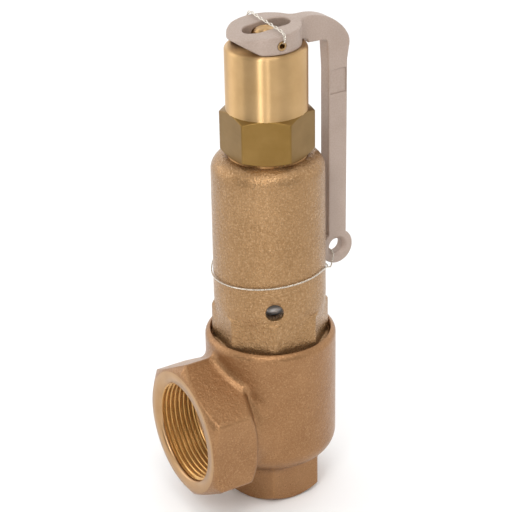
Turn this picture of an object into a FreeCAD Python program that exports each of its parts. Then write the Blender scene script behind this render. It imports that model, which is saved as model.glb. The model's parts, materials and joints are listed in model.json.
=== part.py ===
import FreeCAD, Part
import math
import os
import Sketcher

# Pressure relief valve: female inlet at the bottom, larger female outlet on -X, and a lifting
# lever whose arm hangs down on +X.  Z is the valve axis and the origin is the middle of the
# inlet face.  Lengths are millimetres and angles are degrees.

doc = FreeCAD.newDocument("relief_valve")

DRIVING = {
    # body casting
    "body_radius": 30.0, "body_bottom": 19.1, "body_top": 83.3, "body_round": 10.5,
    "rim_round": 3.4, "chamber_radius": 25.0, "chamber_floor": 25.0,
    "inlet_flats": 42.0, "inlet_chamfer": 4.0, "inlet_minor": 15.146, "inlet_depth": 17.0,
    "inlet_lead": 1.0, "outlet_lead": 1.6,
    "nozzle_bore": 12.5, "nozzle_radius": 16.0, "seat_height": 34.0, "seat_width": 1.5,
    "outlet_flats": 60.0, "outlet_face": 48.0, "outlet_height": 41.4, "outlet_minor": 22.42,
    "outlet_depth": 19.0, "outlet_rear": 25.0, "passage_radius": 16.0, "neck_radius": 26.0,
    "mouth_recess": 27.5, "mouth_floor": 77.0, "mouth_minor": 26.5, "guide_ledge": 60.0,
    # bonnet casting
    "bonnet_low_radius": 25.45, "bonnet_high_radius": 25.1, "bonnet_top": 168.9,
    "shoulder_round": 6.8, "octagon_radius": 26.6, "octagon_top": 98.0, "octagon_turn": -116.5,
    "flange_radius": 27.2, "flange_top": 80.4, "thread_radius": 26.4, "bonnet_bore": 20.0,
    "bonnet_roof": 158.0, "bonnet_neck": 13.85, "bonnet_neck_top": 181.0,
    "vent_radius": 4.0, "vent_height": 102.8, "gasket_thickness": 1.0,
    # cap, adjusting screw and lock nut
    "cap_collar_radius": 17.6, "cap_hex_bottom": 170.0, "cap_flats": 36.0,
    "cap_hex_top": 190.1, "cap_radius": 17.9, "cap_top": 218.4,
    "cap_round": 1.5, "cap_bore": 14.2, "cap_roof": 212.0, "cap_turn": -152.4,
    "adjuster_radius": 9.9, "adjuster_bottom": 152.0, "adjuster_top": 196.0,
    "adjuster_drive": 14.0, "nut_flats": 23.0, "nut_height": 7.0,
    # spindle, springs and disc
    "spindle_radius": 5.0, "spindle_top": 225.7, "collar_radius": 8.0, "collar_bottom": 68.0,
    "plate_radius": 18.6, "low_plate_bottom": 72.0, "plate_height": 6.0,
    "wire_radius": 2.5, "coil_radius": 16.0, "coil_turns": 8.0,
    "ball_radius": 3.0, "ball_height": 50.0, "holder_stem": 9.0, "holder_top": 64.0,
    "holder_bottom": 37.2, "holder_radius": 19.0, "lip_depth": 3.4, "cross_pin_radius": 1.25,
    "seal_radius": 15.2, "seal_thickness": 3.0,
    # lever
    "pin_height": 222.4, "pin_offset": -1.6, "pin_radius": 2.0, "pin_bore": 1.3, "head_radius": 16.0,
    "head_offset": 0.8, "lever_gap": 0.3, "fulcrum": 10.0,
    "slot_half_width": 5.4, "slot_left": -10.6, "slot_right": 11.3,
    "arm_centre": 34.5, "arm_half_depth": 4.8, "arm_half_width": 3.5,
    "eye_height": 115.3, "eye_outer": 8.2, "eye_bore": 3.5, "eye_sink": 5.2, "sink_depth": 1.7,
    # seal wires
    "seal_wire": 0.35, "pin_wire": 0.72, "running_clearance": 0.08, "static_clearance": 0.1,
}

sheet = doc.addObject("Spreadsheet::Sheet", "Sizes")
for row, (alias, value) in enumerate(DRIVING.items(), start=1):
    sheet.set(f"A{row}", alias)
    sheet.set(f"B{row}", str(value))
    sheet.setAlias(f"B{row}", alias)
doc.recompute()


class Size:
    """A number together with the sheet expression that gives it."""

    def __init__(self, value, text):
        self.value = value
        self.text = text

    @staticmethod
    def of(other):
        return other if isinstance(other, Size) else Size(float(other), f"({other})")

    def join(self, other, sign, result):
        return Size(result, f"({self.text} {sign} {Size.of(other).text})")

    def __add__(self, other):
        return self.join(other, "+", self.value + Size.of(other).value)

    def __sub__(self, other):
        return self.join(other, "-", self.value - Size.of(other).value)

    def __mul__(self, other):
        return self.join(other, "*", self.value * Size.of(other).value)

    def __truediv__(self, other):
        return self.join(other, "/", self.value / Size.of(other).value)

    def __neg__(self):
        return Size(-self.value, f"(-1 * {self.text})")

    def __radd__(self, other):
        return Size.of(other) + self

    def __rsub__(self, other):
        return Size.of(other) - self

    def __rmul__(self, other):
        return self * other


def size(alias):
    return Size(float(sheet.get(alias)), f"Sizes.{alias}")


def bind(thing, prop, amount):
    amount = Size.of(amount)
    thing.setExpression(prop, amount.text)


TURNS = {
    "z": FreeCAD.Rotation(),
    "x": FreeCAD.Rotation(FreeCAD.Vector(0, 1, 0), 90),
    "-x": FreeCAD.Rotation(FreeCAD.Vector(0, 1, 0), -90),
    "y": FreeCAD.Rotation(FreeCAD.Vector(1, 0, 0), -90),
}


def place(thing, at, axis="z", turn=0.0):
    """Puts a primitive at a point whose coordinates stay bound to the sheet."""
    spin = FreeCAD.Rotation(FreeCAD.Vector(0, 0, 1), turn)
    thing.Placement = FreeCAD.Placement(FreeCAD.Vector(0, 0, 0), TURNS[axis] * spin)
    for letter, amount in zip("xyz", at):
        bind(thing, f"Placement.Base.{letter}", amount)


def cylinder(name, radius, height, at, axis="z"):
    thing = doc.addObject("Part::Cylinder", name)
    bind(thing, "Radius", radius)
    bind(thing, "Height", height)
    place(thing, at, axis)
    return thing


def cone(name, radius_1, radius_2, height, at, axis="z"):
    thing = doc.addObject("Part::Cone", name)
    bind(thing, "Radius1", radius_1)
    bind(thing, "Radius2", radius_2)
    bind(thing, "Height", height)
    place(thing, at, axis)
    return thing


def box(name, length, width, height, at):
    thing = doc.addObject("Part::Box", name)
    bind(thing, "Length", length)
    bind(thing, "Width", width)
    bind(thing, "Height", height)
    place(thing, at)
    return thing


def prism(name, sides, flats, height, at, axis="z", turn=0.0):
    """A regular prism given by its distance across flats."""
    thing = doc.addObject("Part::Prism", name)
    thing.Polygon = sides
    bind(thing, "Circumradius", flats / (2 * math.cos(math.pi / sides)))
    bind(thing, "Height", height)
    place(thing, at, axis, turn)
    return thing


def cut(name, base, tool):
    thing = doc.addObject("Part::Cut", name)
    thing.Base = base
    thing.Tool = tool
    return thing


def fuse(name, *pieces):
    thing = doc.addObject("Part::MultiFuse", name)
    thing.Shapes = list(pieces)
    thing.Refine = True
    return thing


def common(name, first, second):
    thing = doc.addObject("Part::Common", name)
    thing.Base = first
    thing.Tool = second
    return thing


def plane(body, role):
    return next(item for item in body.Origin.OriginFeatures if item.Role == role)


def outline(sketch, corners):
    """Closes an outline through corners, each (x, y) or (x, y, radius, counterclockwise).

    A corner with a radius is reached from the one before it along an arc of that radius.
    Every corner is bound to the sheet.
    """
    ends = [(Size.of(corner[0]), Size.of(corner[1])) for corner in corners]
    count = len(corners)
    for index, corner in enumerate(corners):
        first = FreeCAD.Vector(ends[index - 1][0].value, ends[index - 1][1].value, 0)
        last = FreeCAD.Vector(ends[index][0].value, ends[index][1].value, 0)
        if len(corner) == 2:
            sketch.addGeometry(Part.LineSegment(first, last))
            continue
        radius = Size.of(corner[2])
        chord = last - first
        reach = math.sqrt(max(radius.value ** 2 - (chord.Length / 2) ** 2, 0.0))
        side = FreeCAD.Vector(-chord.y, chord.x, 0).normalize() * reach
        centre = (first + last) * 0.5 + (side if corner[3] else -side)
        start, stop = (first, last) if corner[3] else (last, first)
        angle_1 = math.atan2(start.y - centre.y, start.x - centre.x)
        angle_2 = math.atan2(stop.y - centre.y, stop.x - centre.x)
        circle = Part.Circle(centre, FreeCAD.Vector(0, 0, 1), radius.value)
        sketch.addGeometry(Part.ArcOfCircle(circle, angle_1, angle_2))
        number = sketch.addConstraint(Sketcher.Constraint("Radius", index, radius.value))
        sketch.setExpression(f"Constraints[{number}]", radius.text)

    def end_point(index):
        corner = corners[index]
        return 1 if len(corner) == 4 and not corner[3] else 2

    for index in range(count):
        following = (index + 1) % count
        start_point = 3 - end_point(following)
        sketch.addConstraint(
            Sketcher.Constraint("Coincident", index, end_point(index), following, start_point))
        for kind, amount in zip(("DistanceX", "DistanceY"), ends[index]):
            fixed = Sketcher.Constraint(kind, -1, 1, index, end_point(index), amount.value)
            number = sketch.addConstraint(fixed)
            sketch.setExpression(f"Constraints[{number}]", amount.text)


def sketch_on(body, name, role, corners):
    sketch = body.newObject("Sketcher::SketchObject", name)
    sketch.AttachmentSupport = [(plane(body, role), "")]
    sketch.MapMode = "FlatFace"
    outline(sketch, corners)
    return sketch


def turned(name, corners):
    """A solid of revolution about Z from an outline in the XZ plane."""
    body = doc.addObject("PartDesign::Body", name)
    sketch = sketch_on(body, f"{name}_profile", "XZ_Plane", corners)
    feature = body.newObject("PartDesign::Revolution", f"{name}_turn")
    feature.Profile = sketch
    feature.ReferenceAxis = (sketch, ["V_Axis"])
    feature.Angle = 360
    body.Tip = feature
    return body


def padded(name, role, corners, length, middle=False):
    body = doc.addObject("PartDesign::Body", name)
    sketch = sketch_on(body, f"{name}_profile", role, corners)
    feature = body.newObject("PartDesign::Pad", f"{name}_pad")
    feature.Profile = sketch
    bind(feature, "Length", length)
    feature.Midplane = middle
    body.Tip = feature
    return body


nodes = []


def node(label, thing):
    """Marks a finished object as a sub-part with its own name."""
    thing.Label = label
    nodes.append(thing)
    return thing


clear = size("static_clearance")
fit = size("running_clearance")

# ---------------------------------------------------------------- body casting
body_r = size("body_radius")
body_low = size("body_bottom")
body_high = size("body_top")
low_round = size("body_round")
rim_round = size("rim_round")

barrel = turned("barrel", [
    (0, body_low),
    (body_r - low_round, body_low),
    (body_r, body_low + low_round, low_round, True),
    (body_r, body_high - rim_round),
    (body_r - rim_round, body_high, rim_round, True),
    (0, body_high),
])

inlet_flats = size("inlet_flats")
inlet_corner = inlet_flats / math.sqrt(3)
inlet_prism = prism("inlet_prism", 6, inlet_flats, body_low + 4, (0, 0, 0), turn=-119.5)
inlet_turned = turned("inlet_turned", [
    (0, 0),
    (inlet_flats / 2 - 0.8, 0),
    (inlet_corner + 0.2, size("inlet_chamfer")),
    (inlet_corner + 0.2, body_low + 4),
    (0, body_low + 4),
])
inlet_hex = common("inlet_hex", inlet_prism, inlet_turned)

out_face = size("outlet_face")
out_rear = size("outlet_rear")
out_z = size("outlet_height")
out_flats = size("outlet_flats")
out_corner = out_flats / math.sqrt(3)
out_length = out_face - out_rear
out_prism = prism("outlet_prism", 6, out_flats, out_length, (-out_rear, 0, out_z), "-x")
out_turned = turned("outlet_turned", [
    (0, out_rear),
    (out_flats / 2 - 0.2, out_rear),
    (out_corner + 0.2, out_rear + (out_corner - out_flats / 2 + 0.4) * 0.75),
    (out_corner + 0.2, out_face - (out_corner - out_flats / 2 + 1.2) * 0.66),
    (out_flats / 2 - 1.0, out_face),
    (0, out_face),
])
out_turned.Placement = FreeCAD.Placement(FreeCAD.Vector(0, 0, out_z.value), TURNS["-x"])
bind(out_turned, "Placement.Base.z", out_z)
out_hex = common("outlet_hex", out_prism, out_turned)
out_neck = cylinder("outlet_neck", size("neck_radius"), out_rear + 4, (0, 0, out_z), "-x")
out_neck_long = common("outlet_neck_clipped", out_neck, cylinder(
    "neck_limit", body_r + 12, body_high - 1, (0, 0, 0)))

casting = fuse("body_casting", barrel, inlet_hex, out_hex, out_neck_long)

chamber_r = size("chamber_radius")
floor = size("chamber_floor")
nozzle_r = size("nozzle_radius")
bore_r = size("nozzle_bore")
seat_z = size("seat_height")
seat_w = size("seat_width")
ledge = size("guide_ledge")
mouth_r = size("mouth_minor")
recess_r = size("mouth_recess")
recess_z = size("mouth_floor")
inlet_r = size("inlet_minor")
inlet_deep = size("inlet_depth")
inlet_lead = size("inlet_lead")

inside = turned("body_inside", [
    (0, 0),
    (inlet_r + inlet_lead, 0),
    (inlet_r, inlet_lead),
    (inlet_r, inlet_deep),
    (bore_r, inlet_deep + 2),
    (bore_r, seat_z),
    (bore_r + seat_w, seat_z),
    (nozzle_r, seat_z - 2.5),
    (nozzle_r, floor),
    (chamber_r - 6, floor),
    (chamber_r, floor + 6, 6, True),
    (chamber_r, ledge),
    (mouth_r, ledge),
    (mouth_r, recess_z),
    (recess_r, recess_z),
    (recess_r, body_high - 0.5),
    (recess_r + 0.5, body_high),
    (0, body_high),
])
out_r = size("outlet_minor")
out_deep = size("outlet_depth")
out_lead = size("outlet_lead")
out_bore = turned("outlet_bore", [
    (0, 10),
    (size("passage_radius"), 10),
    (size("passage_radius"), out_face - out_deep - 1.5),
    (out_r, out_face - out_deep),
    (out_r, out_face - out_lead),
    (out_r + out_lead, out_face),
    (0, out_face),
])
out_bore.Placement = FreeCAD.Placement(FreeCAD.Vector(0, 0, out_z.value), TURNS["-x"])
bind(out_bore, "Placement.Base.z", out_z)
passage_limit = turned("passage_limit", [
    (nozzle_r + 2.5, floor),
    (out_face - out_deep - 1.5, out_z - out_r - 1),
    (body_r + 30, out_z - out_r - 1),
    (body_r + 30, out_z + out_r + 1),
    (out_face - out_deep - 1.5, out_z + out_r + 1),
    (nozzle_r + 2.5, ledge - 1),
])
out_opening = common("outlet_opening", out_bore, passage_limit)
node("body", cut("body_cut", cut("body_bored", casting, inside), out_opening))

# ---------------------------------------------------------------- bonnet casting
low_r = size("bonnet_low_radius")
high_r = size("bonnet_high_radius")
bonnet_z = size("bonnet_top")
shoulder = size("shoulder_round")
oct_r = size("octagon_radius")
oct_z = size("octagon_top")
flange_r = size("flange_radius")
flange_z = size("flange_top")
gasket = size("gasket_thickness")
cavity_r = size("bonnet_bore")
roof_z = size("bonnet_roof")
neck_r = size("bonnet_neck")
neck_z = size("bonnet_neck_top")
screw_r = size("adjuster_radius")
guide_t = 2.9

bonnet_low = ledge + guide_t + 0.1
bonnet_shell = turned("bonnet_shell", [
    (0, bonnet_low),
    (size("thread_radius") - 1, bonnet_low),
    (size("thread_radius"), bonnet_low + 1),
    (size("thread_radius"), recess_z),
    (mouth_r, recess_z + gasket),
    (flange_r, recess_z + gasket),
    (flange_r, flange_z),
    (low_r - 1.2, flange_z),
    (low_r - 1.2, oct_z - 3),
    (low_r, oct_z + 1),
    (high_r, bonnet_z - shoulder),
    (high_r - shoulder, bonnet_z, shoulder, True),
    (neck_r, bonnet_z),
    (neck_r, neck_z - 0.8),
    (neck_r - 0.8, neck_z),
    (0, neck_z),
])
oct_flats = oct_r * (2 * math.cos(math.pi / 8))
oct_prism = prism("octagon_prism", 8, oct_flats, oct_z + 3 - flange_z + 1, (0, 0, flange_z - 1),
                  turn=DRIVING["octagon_turn"])
oct_turned = turned("octagon_turned", [
    (0, flange_z - 1),
    (oct_r + 0.1, flange_z - 1),
    (oct_r + 0.1, oct_z - 2.4),
    (low_r - 0.4, oct_z + 1.6),
    (0, oct_z + 1.6),
])
octagon = common("bonnet_octagon", oct_prism, oct_turned)
bonnet_solid = fuse("bonnet_solid", bonnet_shell, octagon)
bonnet_inside = turned("bonnet_inside", [
    (0, bonnet_low),
    (cavity_r, bonnet_low),
    (cavity_r, roof_z - 4),
    (cavity_r - 4, roof_z, 4, True),
    (screw_r + clear, roof_z),
    (screw_r + clear, neck_z),
    (0, neck_z),
])
vent = cylinder("vent", size("vent_radius"), 20, (0, 0, size("vent_height")), "x")
vent.Placement.Rotation = FreeCAD.Rotation(
    FreeCAD.Vector(0, 0, 1), DRIVING["octagon_turn"]) * TURNS["x"]
vent_reach = cavity_r - 4
vent_angle = math.radians(DRIVING["octagon_turn"])
bind(vent, "Placement.Base.x", vent_reach * math.cos(vent_angle))
bind(vent, "Placement.Base.y", vent_reach * math.sin(vent_angle))
node("bonnet", cut("bonnet_vented", cut("bonnet_bored", bonnet_solid, bonnet_inside), vent))

node("bonnet_gasket", turned("gasket_ring", [
    (mouth_r + clear, recess_z),
    (flange_r, recess_z),
    (flange_r, recess_z + gasket),
    (mouth_r + clear, recess_z + gasket),
]))

# ---------------------------------------------------------------- cap, adjuster, lock nut
cap_flats = size("cap_flats")
cap_corner = cap_flats / math.sqrt(3)
hex_z = size("cap_hex_top")
cap_r = size("cap_radius")
cap_z = size("cap_top")
cap_round = size("cap_round")
hex_low = size("cap_hex_bottom")
collar_out = size("cap_collar_radius")
cap_prism = prism("cap_prism", 6, cap_flats, cap_z - bonnet_z, (0, 0, bonnet_z),
                  turn=DRIVING["cap_turn"])
cap_turned = turned("cap_turned", [
    (0, bonnet_z),
    (collar_out, bonnet_z),
    (collar_out, hex_low),
    (cap_flats / 2, hex_low),
    (cap_corner + 0.1, hex_low + 1.3),
    (cap_corner + 0.1, hex_z - 1.7),
    (cap_r, hex_z),
    (cap_r, cap_z - cap_round),
    (cap_r - cap_round, cap_z, cap_round, True),
    (0, cap_z),
])
cap_hex = common("cap_hex", cap_prism, cap_turned)
cap_inside = turned("cap_inside", [
    (0, bonnet_z),
    (neck_r + clear, bonnet_z),
    (neck_r + clear, neck_z),
    (size("cap_bore"), neck_z),
    (size("cap_bore"), size("cap_roof") - 2),
    (size("cap_bore") - 2, size("cap_roof"), 2, True),
    (size("spindle_radius") + fit, size("cap_roof")),
    (size("spindle_radius") + fit, cap_z - 0.6),
    (size("spindle_radius") + fit + 0.6, cap_z),
    (0, cap_z),
])
node("cap", cut("cap_bored", cap_hex, cap_inside))

screw_low = size("adjuster_bottom")
screw_high = size("adjuster_top")
spindle_r = size("spindle_radius")
screw_body = turned("adjuster_turned", [
    (0, screw_low),
    (screw_r - 1.2, screw_low),
    (screw_r, screw_low + 1.2),
    (screw_r, screw_high - 8),
    (size("adjuster_drive") / 2 - 0.2, screw_high - 7),
    (size("adjuster_drive") / 2 - 0.2, screw_high),
    (0, screw_high),
])
screw_drive = prism("adjuster_drive_hex", 6, size("adjuster_drive"), 7.5,
                    (0, 0, screw_high - 7.5))
screw_bore = cylinder("adjuster_bore", spindle_r + 0.3, screw_high - screw_low,
                      (0, 0, screw_low))
node("adjusting_screw", cut("adjuster_bored", fuse(
    "adjuster_solid", screw_body, screw_drive), screw_bore))

nut_prism = prism("nut_prism", 6, size("nut_flats"), size("nut_height"), (0, 0, neck_z))
nut_bore = cylinder("nut_bore", screw_r + clear, size("nut_height"), (0, 0, neck_z))
node("lock_nut", cut("nut_bored", nut_prism, nut_bore))

# ---------------------------------------------------------------- springs and plates
plate_r = size("plate_radius")
plate_h = size("plate_height")
wire_r = size("wire_radius")
coil_r = size("coil_radius")
low_plate_z = size("low_plate_bottom")
spring_low = low_plate_z + plate_h - 2
spring_high = screw_low - plate_h + 2
seat_groove = coil_r - wire_r - 0.3

node("upper_spring_plate", turned("upper_plate", [
    (spindle_r + 0.35, screw_low - plate_h - 3),
    (seat_groove - 1, screw_low - plate_h - 3),
    (seat_groove, screw_low - plate_h - 2),
    (seat_groove, spring_high),
    (plate_r, spring_high),
    (plate_r, screw_low - 1.5),
    (screw_r + 2, screw_low),
    (spindle_r + 0.35, screw_low),
]))
node("lower_spring_plate", turned("lower_plate", [
    (spindle_r + clear, low_plate_z),
    (plate_r - 6, low_plate_z),
    (plate_r, low_plate_z + 2),
    (plate_r, spring_low),
    (seat_groove, spring_low),
    (seat_groove, spring_low + 4),
    (seat_groove - 1, spring_low + 5),
    (spindle_r + clear, spring_low + 5),
]))

spring_length = spring_high.value - spring_low.value - 2 * clear.value
spring_start = spring_low.value + clear.value
coil_pitch = spring_length / (DRIVING["coil_turns"] - 0.25)
helix = Part.makeHelix(coil_pitch, coil_pitch * DRIVING["coil_turns"], coil_r.value)
section = Part.Wire(Part.makeCircle(
    wire_r.value, FreeCAD.Vector(coil_r.value, 0, 0), FreeCAD.Vector(0, 1, 0)))
coil = Part.Wire(helix.Edges).makePipeShell([section], True, True)
coil.translate(FreeCAD.Vector(0, 0, spring_start - coil_pitch / 8))
ground = Part.makeCylinder(coil_r.value + wire_r.value + 1, spring_length,
                           FreeCAD.Vector(0, 0, spring_start))
spring = doc.addObject("Part::Feature", "spring_coil")
spring.Shape = coil.common(ground).Solids[0]
node("spring", spring)

# ---------------------------------------------------------------- spindle and disc
pin_z = size("pin_height")
pin_x = size("pin_offset")
pin_r = size("pin_radius")
collar_r = size("collar_radius")
collar_z = size("collar_bottom")
ball_r = size("ball_radius")
ball_z = size("ball_height")
spindle_z = size("spindle_top")
nose_r = 4.8
spindle_turned = turned("spindle_turned", [
    (0, ball_z + ball_r),
    (nose_r - 0.8, ball_z + ball_r),
    (nose_r, ball_z + ball_r + 0.8),
    (nose_r, collar_z),
    (collar_r, collar_z),
    (collar_r, low_plate_z),
    (spindle_r, low_plate_z),
    (spindle_r, spindle_z - 1),
    (spindle_r - 1, spindle_z),
    (0, spindle_z),
])
pin_through = cylinder("spindle_pin_hole", pin_r + fit, 4 * spindle_r,
                       (pin_x, -2 * spindle_r, pin_z), "y")
cross_r = size("cross_pin_radius")
holder_r = size("holder_stem")
cross_z = size("holder_top") - 3.5
cross_hole = cylinder("spindle_cross_hole", cross_r + 0.05, 4 * spindle_r,
                      (0, -2 * spindle_r, cross_z), "y")
node("spindle", cut("spindle_drilled", cut(
    "spindle_pinned", spindle_turned, pin_through), cross_hole))

ball = doc.addObject("Part::Sphere", "ball")
bind(ball, "Radius", ball_r)
place(ball, (0, 0, ball_z))
node("thrust_ball", ball)

holder_low = size("holder_bottom")
holder_top = size("holder_top")
disc_r = size("holder_radius")
seal_r = size("seal_radius")
lip = size("lip_depth")
screw_shank = 2.5
holder_turned = turned("holder_turned", [
    (screw_shank + 0.05, holder_low),
    (seal_r + 0.1, holder_low),
    (seal_r + 0.1, holder_low - seat_w),
    (nozzle_r + 0.8, holder_low - seat_w),
    (nozzle_r + 0.8, holder_low - lip),
    (disc_r, holder_low - lip),
    (disc_r, holder_low + 4),
    (disc_r - 2, holder_low + 6, 2, True),
    (holder_r + 1.5, holder_low + 6),
    (holder_r, holder_low + 7.5, 1.5, False),
    (holder_r, holder_top - 0.6),
    (holder_r - 0.6, holder_top),
    (nose_r + 0.1, holder_top),
    (nose_r + 0.1, ball_z),
    (ball_r + 0.02, ball_z),
    (ball_r + 0.02, ball_z - ball_r),
    (screw_shank + 0.05, ball_z - ball_r),
])
holder_cross = cylinder("holder_cross_hole", cross_r + 0.05, 4 * holder_r,
                        (0, -2 * holder_r, cross_z), "y")
node("disc_holder", cut("holder_drilled", holder_turned, holder_cross))
node("disc_cross_pin", cylinder("cross_pin", cross_r, 2 * holder_r - 0.6,
                                (0, -holder_r + 0.3, cross_z), "y"))

seal_t = size("seal_thickness")
seal_low = holder_low - seal_t
node("disc_seal", turned("seal_ring", [
    (screw_shank + 0.05, seal_low),
    (bore_r + seat_w + 1, seal_low),
    (seal_r, seal_low + 1.2),
    (seal_r, holder_low),
    (screw_shank + 0.05, holder_low),
]))
washer_r = bore_r - 2
node("seal_washer", turned("seal_washer_turned", [
    (screw_shank + 0.05, seal_low - 1.8),
    (washer_r - 1.2, seal_low - 1.8),
    (washer_r, seal_low - 0.6),
    (washer_r, seal_low),
    (screw_shank + 0.05, seal_low),
]))
bolt_head = prism("seal_bolt_head", 6, Size.of(8.0), 3.2, (0, 0, seal_low - 5.0))
bolt_shank = cylinder("seal_bolt_shank", screw_shank, ball_z - ball_r - seal_low + 2.6,
                      (0, 0, seal_low - 3.0))
node("seal_screw", fuse("seal_bolt", bolt_head, bolt_shank))

node("disc_guide", turned("guide_turned", [
    (holder_r + fit, ledge - 5),
    (holder_r + 3, ledge - 5),
    (holder_r + 4, ledge - 4),
    (holder_r + 4, ledge),
    (mouth_r - clear, ledge),
    (mouth_r - clear, ledge + guide_t),
    (holder_r + 4, ledge + guide_t),
    (holder_r + 4, ledge + 5.5),
    (holder_r + fit, ledge + 5.5),
]))

# ---------------------------------------------------------------- lever
arm_x = size("arm_centre")
arm_d = size("arm_half_depth")
arm_w = size("arm_half_width")
head_r = size("head_radius")
head_x = size("head_offset")
gap = size("lever_gap")
fulcrum = size("fulcrum")
eye_z = size("eye_height")
eye_r = size("eye_outer")
under = cap_z + gap
inner_x = arm_x - arm_d
outer_x = arm_x + arm_d
eye_join = eye_z + math.sqrt(eye_r.value ** 2 - arm_d.value ** 2)

side = padded("lever_side", "XZ_Plane", [
    (-fulcrum, under),
    (cap_r - 0.9, under),
    (cap_r + 0.4, under - 0.6),
    (cap_r + 1.1, under - 1.5),
    (cap_r + 1.4, under - 2.4),
    (inner_x - 2.6, under - 2.6),
    (inner_x - 0.8, under - 4.6, 1.9, False),
    (inner_x, under - 17),
    (inner_x, eye_join),
    (arm_x, eye_z - eye_r, eye_r, True),
    (outer_x, eye_join, eye_r, True),
    (outer_x, under - 13.8),
    (outer_x + 0.9, under - 8.1),
    (outer_x + 0.5, under - 2.5, 8, True),
    (outer_x - 4.5, under + 3.7, 18, True),
    (cap_r + 0.1, under + 9.5, 24, True),
    (2, under + 8.5),
    (-fulcrum + 1, under + 7.5),
    (-head_r - head_x - 0.3, under + 5.5),
    (-head_r - head_x - 0.3, under + 4.5),
], 2 * head_r + 4, middle=True)
blend = 5.0
blend_x = math.sqrt((head_r.value + blend) ** 2 - (arm_w.value + blend) ** 2)
touch = head_r.value / (head_r.value + blend)
plan_touch_x = blend_x * touch - head_x
plan_touch_y = (arm_w + blend) * touch
plan = padded("lever_plan", "XY_Plane", [
    (blend_x - head_x, -arm_w, blend, False),
    (arm_x + eye_r + 4, -arm_w),
    (arm_x + eye_r + 4, arm_w),
    (blend_x - head_x, arm_w),
    (plan_touch_x, plan_touch_y, blend, False),
    (-head_r - head_x, 0, head_r, True),
    (plan_touch_x, -plan_touch_y, head_r, True),
], cap_z + 20)
lever_solid = common("lever_solid", side, plan)

slot_w = size("slot_half_width")
slot_left = size("slot_left")
slot_right = size("slot_right")
slot = fuse(
    "lever_slot",
    box("slot_middle", slot_right - slot_left - 2 * slot_w, 2 * slot_w, 20,
        (slot_w + slot_left, -slot_w, under - 2)),
    cylinder("slot_left_end", slot_w, 20, (slot_w + slot_left, 0, under - 2)),
    cylinder("slot_right_end", slot_w, 20, (slot_right - slot_w, 0, under - 2)),
)
pin_hole = cylinder("lever_pin_hole", pin_r + clear, 3 * head_r, (pin_x, -1.5 * head_r, pin_z),
                    "y")
eye_bore = size("eye_bore")
eye_sink = size("eye_sink")
sink_deep = size("sink_depth")
eye_hole = fuse(
    "lever_eye_hole",
    cylinder("eye_through", eye_bore, 2 * arm_w + 2, (arm_x, -arm_w - 1, eye_z), "y"),
    cone("eye_front_sink", eye_sink, eye_bore, sink_deep, (arm_x, -arm_w, eye_z), "y"),
    cone("eye_back_sink", eye_bore, eye_sink, sink_deep, (arm_x, arm_w - sink_deep, eye_z), "y"),
)
panel = box("lever_panel", 2 * arm_d - 1.2, 1, 11.8,
            (inner_x + 0.6, -arm_w - 0.6, under - 28.6))
tools = fuse("lever_cuts", slot, pin_hole, eye_hole, panel)
node("lever", cut("lever_cut", lever_solid, tools))

pin_length = 2 * head_r - 0.6
pin_tube = cylinder("pin_tube", pin_r, pin_length, (pin_x, -head_r + 0.3, pin_z), "y")
pin_core = cylinder("pin_core", size("pin_bore"), pin_length, (pin_x, -head_r + 0.3, pin_z), "y")
node("lever_pin", cut("pin_bored", pin_tube, pin_core))

# ---------------------------------------------------------------- seal wires
seal_wire = size("seal_wire").value


def wire_path(points):
    """Straight runs joined by tangent arcs, as one wire."""
    points = [FreeCAD.Vector(*point) for point in points]
    edges = []
    last = points[0]
    for before, corner, after in zip(points, points[1:], points[2:]):
        inward = (before - corner).normalize()
        outward = (after - corner).normalize()
        half = inward.getAngle(outward) / 2
        reach = 0.45 * min((before - corner).Length, (after - corner).Length)
        radius = reach * math.tan(half)
        middle_way = (inward + outward).normalize()
        centre = corner + middle_way * (radius / math.sin(half))
        start = corner + inward * reach
        stop = corner + outward * reach
        edges.append(Part.LineSegment(last, start).toShape())
        edges.append(Part.Arc(start, centre - middle_way * radius, stop).toShape())
        last = stop
    edges.append(Part.LineSegment(last, points[-1]).toShape())
    return Part.Wire(edges)


def wire_tube(name, points, radius):
    path = wire_path(points)
    start = path.Edges[0]
    ring = Part.Wire(Part.makeCircle(radius, start.valueAt(start.FirstParameter),
                                     start.tangentAt(start.FirstParameter)))
    tube = doc.addObject("Part::Feature", name)
    tube.Shape = path.makePipeShell([ring], True, False)
    wanted = math.pi * radius ** 2 * path.Length
    print(f"{name}: length {path.Length:.2f}, volume ratio {tube.Shape.Volume / wanted:.4f}")
    return tube


# From one end of the hollow lever pin over the head to the other end.
pin_wire = size("pin_wire").value
over_z = under.value + 9.6
side_y = head_r.value + 1.5
pin_at = (pin_x.value, pin_z.value)
node("pin_seal_wire", wire_tube("pin_wire_tube", [
    (pin_at[0], -3.0, pin_at[1]),
    (pin_at[0], -side_y, pin_at[1]),
    (-1.4, -side_y, over_z - 0.2),
    (-0.6, -12.0, over_z),
    (0.0, -4.0, over_z + 0.1),
    (0.3, 4.0, over_z + 0.2),
    (1.4, 12.0, over_z + 0.2),
    (2.0, side_y - 0.4, over_z),
    (0.2, side_y + 0.1, pin_at[1] + 1.6),
    (pin_at[0], side_y, pin_at[1]),
    (pin_at[0], 3.0, pin_at[1]),
], pin_wire))

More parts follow.
